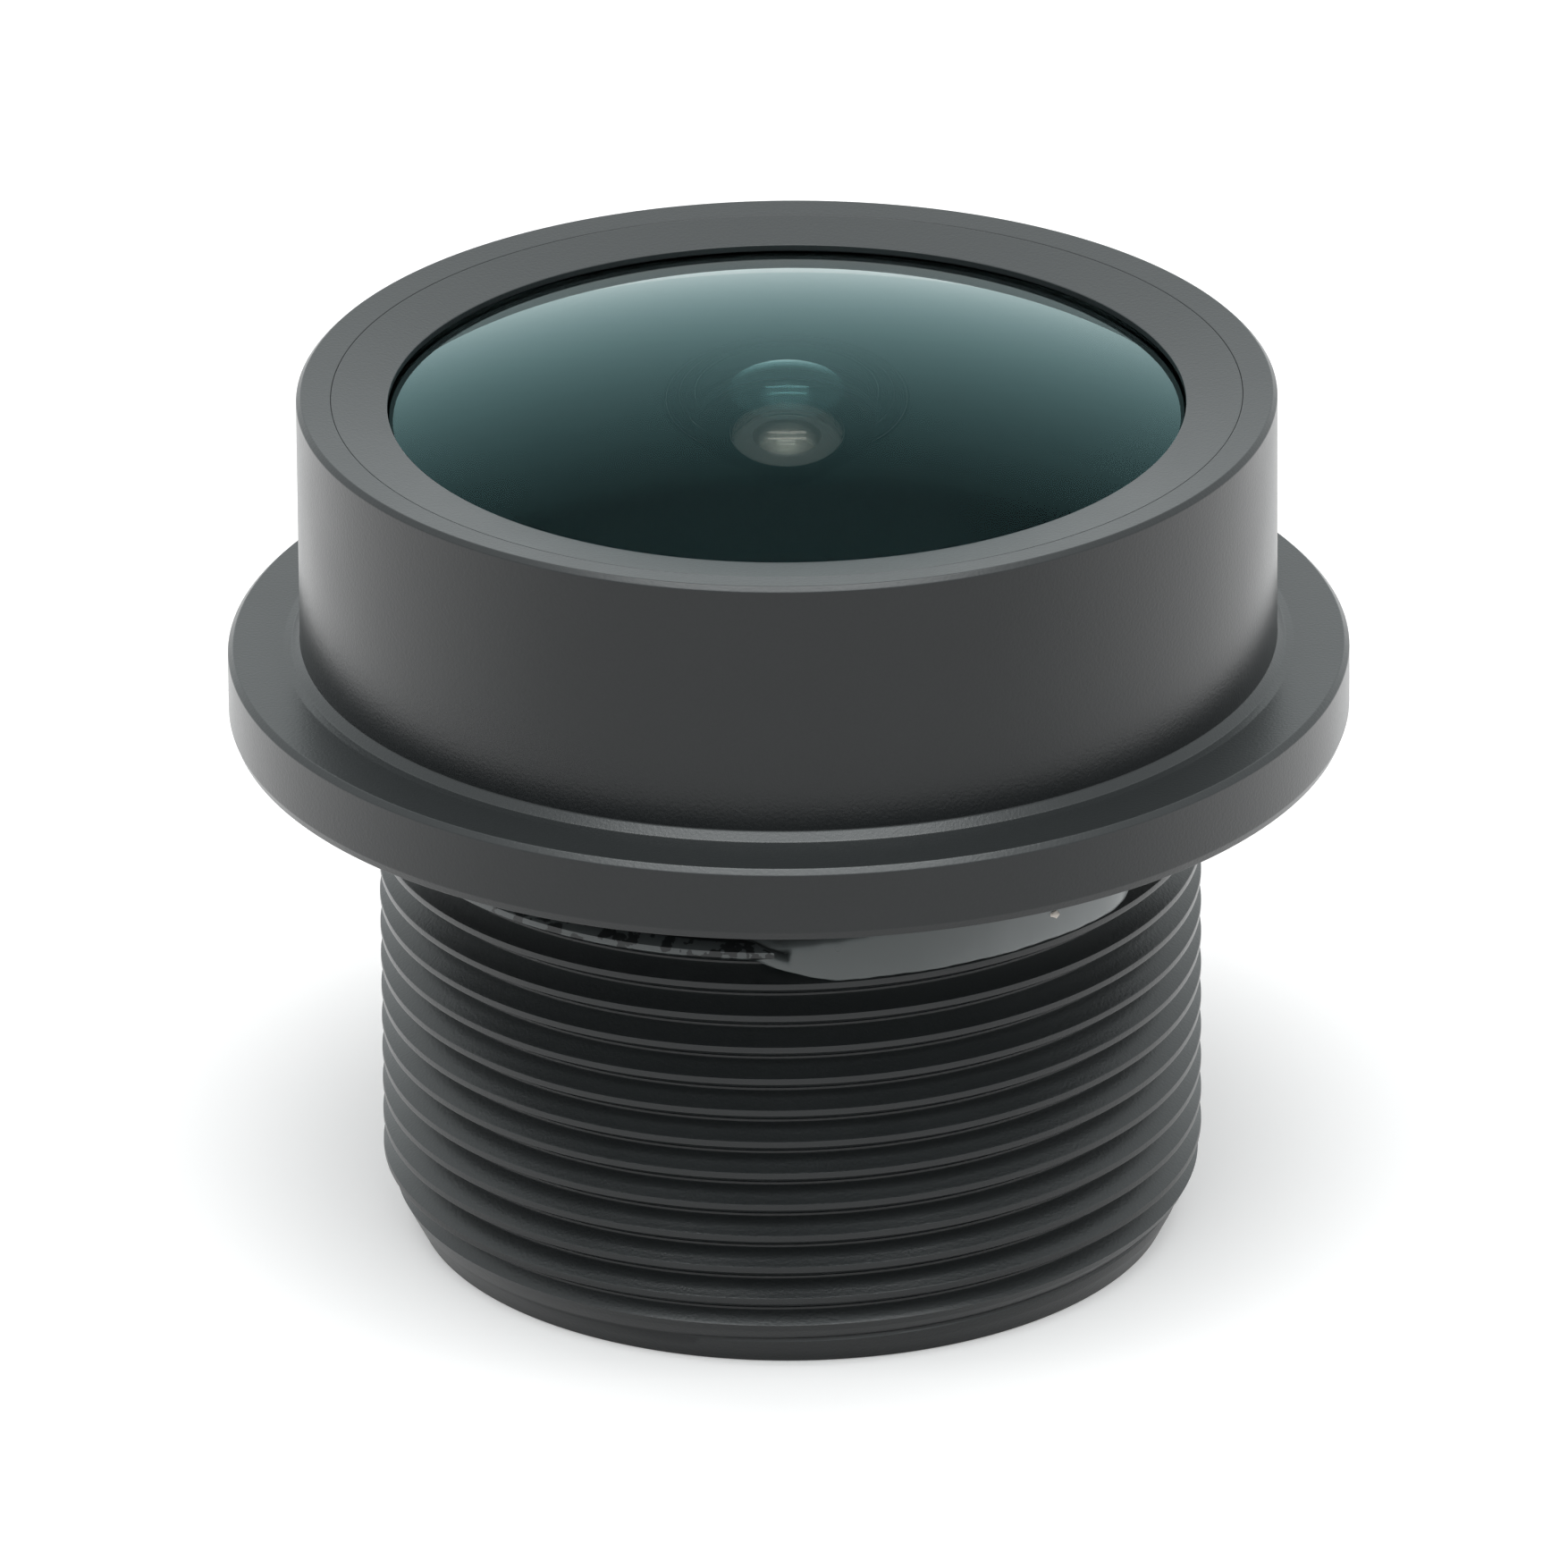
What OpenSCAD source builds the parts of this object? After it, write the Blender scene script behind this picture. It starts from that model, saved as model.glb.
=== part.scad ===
// Fixed-focus wide-angle board lens with an M12 x 0.5 mounting thread.
// Z runs along the optical axis, from the rear face at z = 0 up to the domed front glass.
// All sizes are in millimetres. The front of the photographed lens is towards -Y.

/* [Mounting thread] */
// Crest radius of the mounting thread (M12)
thread_r = 6; // [5.95:0.01:6.05]
// Pitch of the mounting thread
thread_pitch = 0.5; // [0.35:0.05:0.75]
// Radial depth of the thread groove
thread_depth = 0.26; // [0.15:0.01:0.3]
// Width of the flat left on each thread crest
crest_flat = 0.1; // [0.06:0.01:0.14]
// Length of the threaded barrel, from the rear face to the relief groove
thread_l = 6.8; // [6:0.1:9]
// Height of the first full thread groove over the rear face
first_groove_z = 0.93; // [0.75:0.01:1.2]
// Radial drop of the lead-in cone at the rear face
lead_drop = 0.5; // [0.2:0.05:0.6]
// Length of the lead-in cone
lead_l = 0.97; // [0.4:0.01:1.2]

/* [Relief groove and flange] */
// Width of the relief groove under the flange
relief_w = 1.1; // [0.6:0.05:1.6]
// Radial depth of the relief groove
relief_depth = 0.4; // [0.1:0.05:0.6]
// Radial width of the flange outside the head
flange_rim_w = 1.05; // [0.6:0.05:2.5]
// Thickness of the flange
flange_t = 1.1; // [0.6:0.05:2]
// Chamfer on the lower edge of the flange
flange_low_chamfer = 0.18; // [0.05:0.01:0.25]
// Chamfer on the upper edge of the flange
flange_top_chamfer = 0.08; // [0.04:0.01:0.2]

/* [Head] */
// Wall of the head around the front retaining ring
head_wall = 0.5; // [0.35:0.01:0.9]
// Length of the head, from the flange to the front rim
head_l = 3.93; // [3.3:0.01:5]
// Conical root where the head meets the flange
head_root = 0.12; // [0.05:0.01:0.25]
// Width of the shallow turned land around the head root
root_land_w = 0.12; // [0.05:0.01:0.2]
// Height of the shallow turned land around the head root
root_land_h = 0.02; // [0.01:0.005:0.04]
// Chamfer on the outer edge of the front rim
rim_chamfer = 0.07; // [0.03:0.01:0.15]

/* [Front retaining ring] */
// Radius of the clear opening in the ring
opening_r = 5.78; // [5.4:0.01:6.4]
// Radial width of the ring outside the front glass
front_ring_wall = 0.295; // [0.2:0.005:0.5]
// Radial distance that the lip reaches in over the dome
lip_overhang = 0.17; // [0.1:0.01:0.25]
// Full height of the ring, from its screwed foot to the front rim
front_ring_h = 0.6; // [0.55:0.01:0.8]
// Depth of the ring's shallow inward cone
front_ring_dish = 0.18; // [0.1:0.01:0.25]
// Height of the opening's straight wall
lip_t = 0.1; // [0.06:0.01:0.15]
// Height from the ring's seat on the glass up to the underside of the lip
lip_seat_h = 0.1; // [0.09:0.01:0.14]

/* [Front element] */
// Radial width of the flat step around the dome, which the ring presses on
glass_step_w = 0.35; // [0.25:0.01:0.6]
// Height of the dome over the flat step
dome_h = 1.04; // [0.7:0.01:1.2]
// Thickness of the front element at its edge
front_glass_edge = 1.55; // [1.3:0.01:1.8]
// Depth of the hollow rear face
front_hollow_h = 1.9; // [1.4:0.01:1.95]
// Cord radius of the seal ring behind the front element
seal_cord_r = 0.29; // [0.2:0.01:0.3]

/* [Stack] */
// Wall of the threaded tube, from the thread's crest to the bore of the stack
tube_wall = 1.2; // [1:0.05:1.6]
// Thickness of the web inside the barrel that carries the stack
web_t = 0.4; // [0.3:0.05:0.8]
// Radial width of the web
web_w = 2.4; // [2:0.05:2.6]
// Edge thickness of the second element
second_edge = 1.2; // [1.1:0.05:1.6]
// Edge thickness of the third element
third_edge = 1; // [0.7:0.05:1.4]
// Edge thickness of the fourth element
fourth_edge = 0.8; // [0.6:0.05:1.2]
// Edge thickness of the fifth element
fifth_edge = 1.65; // [1.5:0.05:2]
// Edge thickness of the sixth element
sixth_edge = 0.9; // [0.7:0.05:1.3]
// Thickness of the front spacer
front_spacer_t = 0.6; // [0.55:0.05:1]
// Thickness of the spacer in front of the aperture stop
stop_front_spacer_t = 0.45; // [0.3:0.05:0.8]
// Thickness of the spacer behind the aperture stop
stop_rear_spacer_t = 0.45; // [0.4:0.05:0.8]
// Thickness of the rear spacer
rear_spacer_t = 0.4; // [0.35:0.05:0.8]
// Thickness of each light shield
shield_t = 0.05; // [0.03:0.01:0.1]
// Thickness of the aperture stop
stop_t = 0.1; // [0.05:0.01:0.15]
// Radius of the aperture stop's hole
stop_hole_r = 0.9; // [0.6:0.05:1.4]
// Radius of the hole in the front light shield
front_shield_hole_r = 0.73; // [0.6:0.01:1]
// Radial width of the front spacer
front_spacer_w = 1.87; // [1.6:0.01:2.2]
// Radial width of the spacer in front of the aperture stop
stop_front_spacer_w = 2.27; // [2:0.01:2.6]
// Radial width of the spacer behind the aperture stop
stop_rear_spacer_w = 2.47; // [2.2:0.01:2.8]
// Radial width of the rear light shield
rear_shield_w = 1.67; // [1.4:0.01:2]
// Radial width of the rear spacer
rear_spacer_w = 1.57; // [1.3:0.01:1.9]

/* [Lens faces] */
// Height of the second element's front dome
second_front_h = 0.7; // [0.4:0.01:0.9]
// Radius of the second element's hollow rear face
second_hollow_a = 1.12; // [1:0.01:1.4]
// Depth of the second element's hollow rear face
second_hollow_h = 0.35; // [0.25:0.01:0.6]
// Height of the third element's front dome
third_front_h = 0.5; // [0.3:0.01:0.58]
// Height of the third element's rear dome
third_rear_h = 0.21; // [0.1:0.01:0.3]
// Height of the fourth element's front dome
fourth_front_h = 0.35; // [0.2:0.01:0.4]
// Depth of the cemented face between the fourth and fifth elements
cement_h = 0.73; // [0.5:0.01:0.9]
// Depth of the fifth element's hollow rear face
fifth_hollow_h = 0.3; // [0.25:0.01:0.4]
// Height of the sixth element's front dome
sixth_front_h = 0.62; // [0.4:0.01:0.68]
// Height of the sixth element's rear dome
sixth_rear_h = 0.77; // [0.5:0.01:0.85]

/* [Rear end] */
// Radial step from the stack's bore to the rear ring's screwed bore
rear_bore_step = 0.22; // [0.15:0.01:0.35]
// Radial width of the rear retaining ring
rear_ring_w = 1.6; // [1.3:0.05:1.8]
// Thickness of the rear retaining ring
rear_ring_t = 1.05; // [0.9:0.05:1.3]
// Width of the ring's two spanner slots
slot_w = 0.8; // [0.5:0.05:1.2]
// Depth of the ring's two spanner slots
slot_depth = 0.35; // [0.2:0.05:0.5]
// Radial distance from the rear ring's edge in to the infrared filter
filter_inset = 0.5; // [0.3:0.05:0.8]
// Thickness of the infrared filter
filter_t = 0.3; // [0.25:0.05:0.5]
// Height of the adhesive fillet along the filter's edge
fillet_h = 0.24; // [0.1:0.01:0.25]
// Radial width of the adhesive fillet around the filter
fillet_w = 0.3; // [0.1:0.05:0.3]

/* [Adhesive dab under the flange] */
// Angle to the right of the front at which the dab starts
dab_start = 2; // [-20:1:10]
// Angle around the barrel that the dab covers
dab_sweep = 54; // [30:1:80]
// Distance from the relief groove down to the dab's lower edge
dab_drop = 0.5; // [0.3:0.01:0.6]
// Height of the dab's skin over the thread crests
dab_skin = 0.02; // [0.01:0.005:0.03]

/* [Fits] */
// Radial clearance of the glass and of the stack in their bores
bore_gap = 0.03; // [0.01:0.01:0.06]
// Radial clearance of the front retaining ring in the barrel
front_ring_gap = 0.005; // [0.005:0.005:0.03]
// Radial clearance of the rear retaining ring in the barrel
rear_ring_gap = 0.02; // [0.01:0.01:0.05]
// Free depth left ahead of each screwed ring
thread_run = 0.1; // [0.05:0.01:0.15]
// Thickness of the cement between the fourth and fifth elements
cement_t = 0.01; // [0.005:0.005:0.02]

/* [Hidden] */
$fn = 96;

// Colours of the finishes
BLACK_ANODISED = [0.16, 0.17, 0.175];
BLACK_SPACER = [0.09, 0.09, 0.1];
BLACK_FILM = [0.05, 0.05, 0.05];
BLACK_RUBBER = [0.07, 0.07, 0.075];
COATED_GLASS = [0.25, 0.42, 0.42, 0.6];
CLEAR_GLASS = [0.7, 0.78, 0.78, 0.5];
FILTER_GLASS = [0.75, 0.5, 0.5, 0.6];
ADHESIVE = [0.12, 0.12, 0.13];
CLEAR_ADHESIVE = [0.8, 0.78, 0.7];

// Radii of the front end, out from the clear opening
dome_a = opening_r + lip_overhang;
front_glass_r = dome_a + glass_step_w;
front_glass_bore_r = front_glass_r + bore_gap;
front_ring_r = front_glass_r + front_ring_wall;
front_ring_bore_r = front_ring_r + front_ring_gap;
head_r = front_ring_bore_r + head_wall;
flange_r = head_r + flange_rim_w;

// Radii of the threaded tube, in from the thread's crest
relief_r = thread_r - relief_depth;
stack_bore_r = thread_r - tube_wall;
stack_r = stack_bore_r - bore_gap;
web_r = stack_bore_r - web_w;
rear_bore_r = stack_bore_r + rear_bore_step;
rear_ring_r = rear_bore_r - rear_ring_gap;
rear_ring_hole_r = rear_ring_r - rear_ring_w;
filter_r = rear_ring_r - filter_inset;

// Holes of the spacers and shields
front_spacer_hole_r = stack_r - front_spacer_w;
stop_front_hole_r = stack_r - stop_front_spacer_w;
stop_rear_hole_r = stack_r - stop_rear_spacer_w;
rear_shield_hole_r = stack_r - rear_shield_w;
rear_spacer_hole_r = stack_r - rear_spacer_w;

// Radii of the curved lens faces, each a little less than the hole beside it
face_gap = 0.1;
dome_gap = 0.15;
web_overlap = 0.4;
front_hollow_a = web_r - web_overlap;
second_front_a = web_r - dome_gap;
third_front_a = front_spacer_hole_r - face_gap;
third_rear_a = stop_front_hole_r - face_gap;
fourth_front_a = stop_rear_hole_r - face_gap;
cement_a = rear_shield_hole_r - face_gap;
fifth_hollow_a = rear_shield_hole_r - face_gap;
sixth_front_a = rear_spacer_hole_r - face_gap;
sixth_rear_a = rear_ring_hole_r - 2 * face_gap;

// Heights along the barrel
flange_z = thread_l + relief_w;
flange_top_z = flange_z + flange_t;
rim_z = flange_top_z + head_l;

// Heights along the front retaining ring
front_ring_z = rim_z - front_ring_h;
cone_edge_z = rim_z - front_ring_dish;
lip_z = cone_edge_z - lip_t;

// Heights along the optics, measured back from the lip of the ring
glass_step_z = lip_z - lip_seat_h;
glass_seat_z = glass_step_z - front_glass_edge;
second_z = glass_seat_z - web_t;
front_shield_z = second_z - second_edge;
front_spacer_z = front_shield_z - shield_t;
third_z = front_spacer_z - front_spacer_t;
stop_front_spacer_z = third_z - third_edge;
stop_z = stop_front_spacer_z - stop_front_spacer_t;
stop_rear_spacer_z = stop_z - stop_t;
fourth_z = stop_rear_spacer_z - stop_rear_spacer_t;
fifth_z = fourth_z - fourth_edge;
rear_shield_z = fifth_z - fifth_edge;
rear_spacer_z = rear_shield_z - shield_t;
sixth_z = rear_spacer_z - rear_spacer_t;
rear_ring_z = sixth_z - sixth_edge;
filter_z = rear_ring_z - rear_ring_t;

// Seal ring, in a rebate at the rear edge of the front element
seal_w = 2 * seal_cord_r;
seal_centre_r = front_glass_bore_r - seal_cord_r;
rebate_r = seal_centre_r - seal_cord_r;

// Thread grooves
groove_mouth = thread_pitch - crest_flat;
flank_angle = 30;
groove_slope = tan(flank_angle);
groove_count = floor((thread_l - first_groove_z - groove_mouth / 2) / thread_pitch) + 1;
// Overlap that joins or clears two cuts
eps = 0.05;
// Reach of a cutter past the piece that it cuts
cutter_reach = 1;

// Radius of curvature of a face of radius a that stands h high or deep
function curve_of(a, h) = (a * a + h * h) / (2 * h);

// Disc that hangs down from height z
module disc(z, r, t) {
    translate([0, 0, z - t]) cylinder(r = r, h = t);
}

// Flat ring that hangs down from height z
module washer(z, r, hole_r, t) {
    difference() {
        disc(z, r, t);
        disc(z + eps, hole_r, t + 2 * eps);
    }
}

// Bulge of a lens face, up from height z
module front_bulge(z, a, h) {
    curve = curve_of(a, h);
    intersection() {
        translate([0, 0, z + h - curve]) sphere(r = curve);
        translate([0, 0, z - eps]) cylinder(r = a, h = h + 2 * eps);
    }
}

// Bulge of a lens face, down from height z
module rear_bulge(z, a, h) {
    curve = curve_of(a, h);
    intersection() {
        translate([0, 0, z - h + curve]) sphere(r = curve);
        translate([0, 0, z - h - eps]) cylinder(r = a, h = h + 2 * eps);
    }
}

// Ball that hollows the rear face at height z
module rear_hollow(z, a, h) {
    curve = curve_of(a, h);
    translate([0, 0, z + h - curve]) sphere(r = curve);
}

// One V-shaped thread groove, centred at height z
module thread_groove(z) {
    root_half = groove_mouth / 2 - thread_depth * groove_slope;
    mouth_half = groove_mouth / 2 + eps * groove_slope;
    translate([0, 0, z])
        rotate_extrude()
            polygon([
                [thread_r - thread_depth, -root_half],
                [thread_r + eps, -mouth_half],
                [thread_r + eps, mouth_half],
                [thread_r - thread_depth, root_half]
            ]);
}

// Turned barrel: threaded tube, relief groove, flange and head in one piece
module barrel() {
    color(BLACK_ANODISED)
        difference() {
            rotate_extrude()
                polygon([
                    [rear_bore_r, 0],
                    [thread_r - lead_drop, 0],
                    [thread_r, lead_l],
                    [thread_r, thread_l],
                    [relief_r, thread_l],
                    [relief_r, flange_z],
                    [flange_r - flange_low_chamfer, flange_z],
                    [flange_r, flange_z + flange_low_chamfer],
                    [flange_r, flange_top_z - flange_top_chamfer],
                    [flange_r - flange_top_chamfer, flange_top_z],
                    [head_r + head_root + root_land_w, flange_top_z],
                    [head_r + head_root, flange_top_z + root_land_h],
                    [head_r, flange_top_z + root_land_h + head_root],
                    [head_r, rim_z - rim_chamfer],
                    [head_r - rim_chamfer, rim_z],
                    [front_ring_bore_r, rim_z],
                    [front_ring_bore_r, front_ring_z - thread_run],
                    [front_glass_bore_r, front_ring_z - thread_run],
                    [front_glass_bore_r, glass_seat_z],
                    [web_r, glass_seat_z],
                    [web_r, second_z],
                    [stack_bore_r, second_z],
                    [stack_bore_r, rear_ring_z + thread_run],
                    [rear_bore_r, rear_ring_z + thread_run]
                ]);
            for (i = [0 : groove_count - 1])
                thread_groove(first_groove_z + i * thread_pitch);
        }
}

// Ring screwed into the front rim: it presses on the step around the front glass,
// and its skirt reaches down around the glass
module front_retaining_ring() {
    seat_r = dome_a + face_gap / 2;
    color(BLACK_ANODISED)
        rotate_extrude()
            polygon([
                [seat_r, glass_step_z],
                [front_glass_bore_r, glass_step_z],
                [front_glass_bore_r, front_ring_z],
                [front_ring_r, front_ring_z],
                [front_ring_r, rim_z],
                [opening_r, cone_edge_z],
                [opening_r, lip_z],
                [seat_r, lip_z]
            ]);
}

// Domed front glass, hollowed behind, with a rebate for the seal ring
module front_element() {
    color(COATED_GLASS)
        difference() {
            union() {
                disc(glass_step_z, front_glass_r, front_glass_edge);
                front_bulge(glass_step_z, dome_a, dome_h);
            }
            rear_hollow(glass_seat_z, front_hollow_a, front_hollow_h);
            washer(glass_seat_z + seal_w, front_glass_r + cutter_reach, rebate_r, seal_w + eps);
        }
}

// Rubber seal ring between the front glass and the barrel
module front_seal_ring() {
    color(BLACK_RUBBER)
        translate([0, 0, glass_seat_z + seal_cord_r])
            rotate_extrude()
                translate([seal_centre_r, 0]) circle(r = seal_cord_r);
}

// Second element: domed in front, with a small hollow behind
module second_element() {
    color(CLEAR_GLASS)
        difference() {
            union() {
                disc(second_z, stack_r, second_edge);
                front_bulge(second_z, second_front_a, second_front_h);
            }
            rear_hollow(front_shield_z, second_hollow_a, second_hollow_h);
        }
}

// Thin film ring behind the second element
module front_light_shield() {
    color(BLACK_FILM) washer(front_shield_z, stack_r, front_shield_hole_r, shield_t);
}

// Turned ring between the front light shield and the third element
module front_spacer() {
    color(BLACK_SPACER) washer(front_spacer_z, stack_r, front_spacer_hole_r, front_spacer_t);
}

// Third element: domed on both faces
module third_element() {
    color(CLEAR_GLASS) {
        union() {
            disc(third_z, stack_r, third_edge);
            front_bulge(third_z, third_front_a, third_front_h);
            rear_bulge(stop_front_spacer_z, third_rear_a, third_rear_h);
        }
    }
}

// Turned ring ahead of the aperture stop
module stop_front_spacer() {
    color(BLACK_SPACER)
        washer(stop_front_spacer_z, stack_r, stop_front_hole_r, stop_front_spacer_t);
}

// Thin blackened disc whose small hole sets the lens's f-number
module aperture_stop() {
    color(BLACK_FILM) washer(stop_z, stack_r, stop_hole_r, stop_t);
}

// Turned ring behind the aperture stop
module stop_rear_spacer() {
    color(BLACK_SPACER)
        washer(stop_rear_spacer_z, stack_r, stop_rear_hole_r, stop_rear_spacer_t);
}

// Fourth element: domed on both faces, cemented to the fifth
module fourth_element() {
    color(CLEAR_GLASS) {
        union() {
            disc(fourth_z, stack_r, fourth_edge);
            front_bulge(fourth_z, fourth_front_a, fourth_front_h);
            rear_bulge(fifth_z, cement_a, cement_h);
        }
    }
}

// Fifth element: hollowed in front to take the fourth, and hollowed behind
module fifth_element() {
    cement_curve = curve_of(cement_a, cement_h);
    color(CLEAR_GLASS)
        difference() {
            disc(fifth_z, stack_r, fifth_edge);
            translate([0, 0, fifth_z - cement_h + cement_curve])
                sphere(r = cement_curve + cement_t);
            rear_hollow(rear_shield_z, fifth_hollow_a, fifth_hollow_h);
        }
}

// Thin film ring behind the fifth element
module rear_light_shield() {
    color(BLACK_FILM) washer(rear_shield_z, stack_r, rear_shield_hole_r, shield_t);
}

// Turned ring between the rear light shield and the sixth element
module rear_spacer() {
    color(BLACK_SPACER) washer(rear_spacer_z, stack_r, rear_spacer_hole_r, rear_spacer_t);
}

// Sixth element: domed on both faces
module sixth_element() {
    color(CLEAR_GLASS) {
        union() {
            disc(sixth_z, stack_r, sixth_edge);
            front_bulge(sixth_z, sixth_front_a, sixth_front_h);
            rear_bulge(rear_ring_z, sixth_rear_a, sixth_rear_h);
        }
    }
}

// Ring screwed in from the rear: it clamps the stack and has two spanner slots
module rear_retaining_ring() {
    color(BLACK_ANODISED)
        difference() {
            washer(rear_ring_z, rear_ring_r, rear_ring_hole_r, rear_ring_t);
            translate([0, 0, filter_z + slot_depth / 2 - eps])
                cube([2 * rear_ring_r + cutter_reach, slot_w, slot_depth + 2 * eps], center = true);
        }
}

// Round infrared-cut filter that lies on the rear retaining ring
module infrared_filter() {
    color(FILTER_GLASS) disc(filter_z, filter_r, filter_t);
}

// Clear adhesive fillet that holds the filter's edge to the ring
module filter_adhesive() {
    color(CLEAR_ADHESIVE)
        rotate_extrude()
            polygon([
                [filter_r, filter_z],
                [filter_r, filter_z - fillet_h],
                [filter_r + fillet_w, filter_z]
            ]);
}

// Dab of black adhesive that fills the relief groove and the last thread groove
module flange_adhesive() {
    dab_z = thread_l - dab_drop;
    color(ADHESIVE)
        difference() {
            rotate([0, 0, dab_start - 90])
                rotate_extrude(angle = dab_sweep)
                    polygon([
                        [relief_r - eps, dab_z],
                        [thread_r + dab_skin, dab_z],
                        [thread_r + dab_skin, flange_z],
                        [relief_r - eps, flange_z]
                    ]);
            barrel();
        }
}

barrel();
front_retaining_ring();
front_element();
front_seal_ring();
second_element();
front_light_shield();
front_spacer();
third_element();
stop_front_spacer();
aperture_stop();
stop_rear_spacer();
fourth_element();
fifth_element();
rear_light_shield();
rear_spacer();
sixth_element();
rear_retaining_ring();
infrared_filter();
filter_adhesive();
flange_adhesive();
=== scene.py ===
import math

import bmesh
import bpy
from mathutils import Matrix, Vector


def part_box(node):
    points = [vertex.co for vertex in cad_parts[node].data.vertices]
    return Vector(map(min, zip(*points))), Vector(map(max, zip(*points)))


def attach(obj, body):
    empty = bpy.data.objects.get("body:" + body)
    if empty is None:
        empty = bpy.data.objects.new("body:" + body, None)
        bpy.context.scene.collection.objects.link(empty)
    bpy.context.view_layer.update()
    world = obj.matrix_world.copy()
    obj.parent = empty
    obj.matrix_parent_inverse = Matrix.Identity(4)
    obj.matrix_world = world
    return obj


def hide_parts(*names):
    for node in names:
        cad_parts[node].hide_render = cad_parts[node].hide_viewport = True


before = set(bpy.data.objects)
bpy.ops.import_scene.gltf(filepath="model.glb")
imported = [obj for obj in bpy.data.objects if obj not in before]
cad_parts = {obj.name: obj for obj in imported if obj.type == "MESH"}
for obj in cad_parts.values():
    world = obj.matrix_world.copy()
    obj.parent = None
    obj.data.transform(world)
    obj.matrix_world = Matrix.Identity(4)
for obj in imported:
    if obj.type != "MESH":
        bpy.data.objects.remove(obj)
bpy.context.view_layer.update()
MM = 0.001

# Barrel. One piece turned from aluminium bar: head, flange, relief groove and threaded
# tube. The thread is a right-hand helix, 0.5 mm pitch. The whole piece is black anodised.

BARREL_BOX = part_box("barrel")
RIM_Z = BARREL_BOX[1].z / MM
FLANGE_R = BARREL_BOX[1].x / MM
HEAD_R = 7.1
HEAD_L = 3.93
RIM_CHAMFER = 0.07
RIM_FALL = 0.05
FLANGE_T = 1.1
FLANGE_LOW_EDGE = (0.05, 0.13)
FLANGE_TOP_CHAMFER = 0.08
HEAD_ROOT = 0.12
ROOT_LAND_W = 0.12
ROOT_LAND_H = 0.02
FLANGE_TOP_Z = RIM_Z - HEAD_L
FLANGE_Z = FLANGE_TOP_Z - FLANGE_T
RELIEF_W = 1.1
RELIEF_R = 5.6
CREST_R = 6.0
THREAD_L = FLANGE_Z - RELIEF_W
PITCH = 0.5
GROOVE_DEPTH = 0.31
CREST_FLAT = 0.09
FIRST_GROOVE_Z = 0.93
LEAD_DROP = 0.5
LEAD_L = 0.97
RING_BORE_R = 6.6
GLASS_BORE_R = 6.33
RING_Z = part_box("front_retaining_ring")[0].z / MM
GLASS_STEP_Z = RIM_Z - 0.38
GLASS_SEAT_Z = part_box("front_element")[0].z / MM
WEB_R = 2.4
STACK_BORE_R = 4.8
STACK_Z = GLASS_SEAT_Z - 0.4
REAR_BORE_R = 5.02
REAR_RING_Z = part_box("rear_retaining_ring")[1].z / MM
THREAD_RUN = 0.1
EDGE = 0.012
SKIN = 0.003
ROUND_SIDES = 240


class Wire:
    """A socket of a node tree that can be used in Python expressions."""

    def __init__(self, tree, socket=None):
        self.tree = tree
        self.socket = socket

    def node(self, kind, settings=None, inputs=None, output=0):
        made = self.tree.nodes.new(kind)
        for name, value in (settings or {}).items():
            if name == "stops":
                ramp = made.color_ramp
                while len(ramp.elements) < len(value):
                    ramp.elements.new(0.5)
                for element, (position, color) in zip(ramp.elements, value):
                    element.position = position
                    element.color = color
            else:
                setattr(made, name, value)
        for name, value in (inputs or {}).items():
            if isinstance(value, Wire):
                self.tree.links.new(value.socket, made.inputs[name])
            else:
                made.inputs[name].default_value = value
        return Wire(self.tree, made.outputs[output])

    def math(self, operation, *values):
        return self.node("ShaderNodeMath", {"operation": operation}, dict(enumerate(values)))

    def __add__(self, other):
        return self.math("ADD", self, other)

    def __radd__(self, other):
        return self.math("ADD", other, self)

    def __sub__(self, other):
        return self.math("SUBTRACT", self, other)

    def __rsub__(self, other):
        return self.math("SUBTRACT", other, self)

    def __mul__(self, other):
        return self.math("MULTIPLY", self, other)

    def __rmul__(self, other):
        return self.math("MULTIPLY", other, self)

    def __truediv__(self, other):
        return self.math("DIVIDE", self, other)

    def __rtruediv__(self, other):
        return self.math("DIVIDE", other, self)


def corner(before, point, after, size):
    """The points that round off one corner of an outline, with a held point on each side."""
    here = Vector(point)
    back = Vector(before) - here
    ahead = Vector(after) - here
    reach = min(size, back.length * 0.3, ahead.length * 0.3)
    back.normalize()
    ahead.normalize()
    start = here + back * reach
    end = here + ahead * reach
    arc = [(start.lerp(here, t)).lerp(here.lerp(end, t), t) for t in (0.0, 0.33, 0.67, 1.0)]
    return [here + back * reach * 1.9] + arc + [here + ahead * reach * 1.9]


def rounded(points, size=EDGE, closed=True):
    """An outline with its corners eased, as a turned edge is."""
    result = []
    count = len(points)
    for i, point in enumerate(points):
        if not closed and i in (0, count - 1):
            result.append(Vector(point))
        else:
            result += corner(points[i - 1], point, points[(i + 1) % count], size)
    return result + [result[0]] if closed else result


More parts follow.
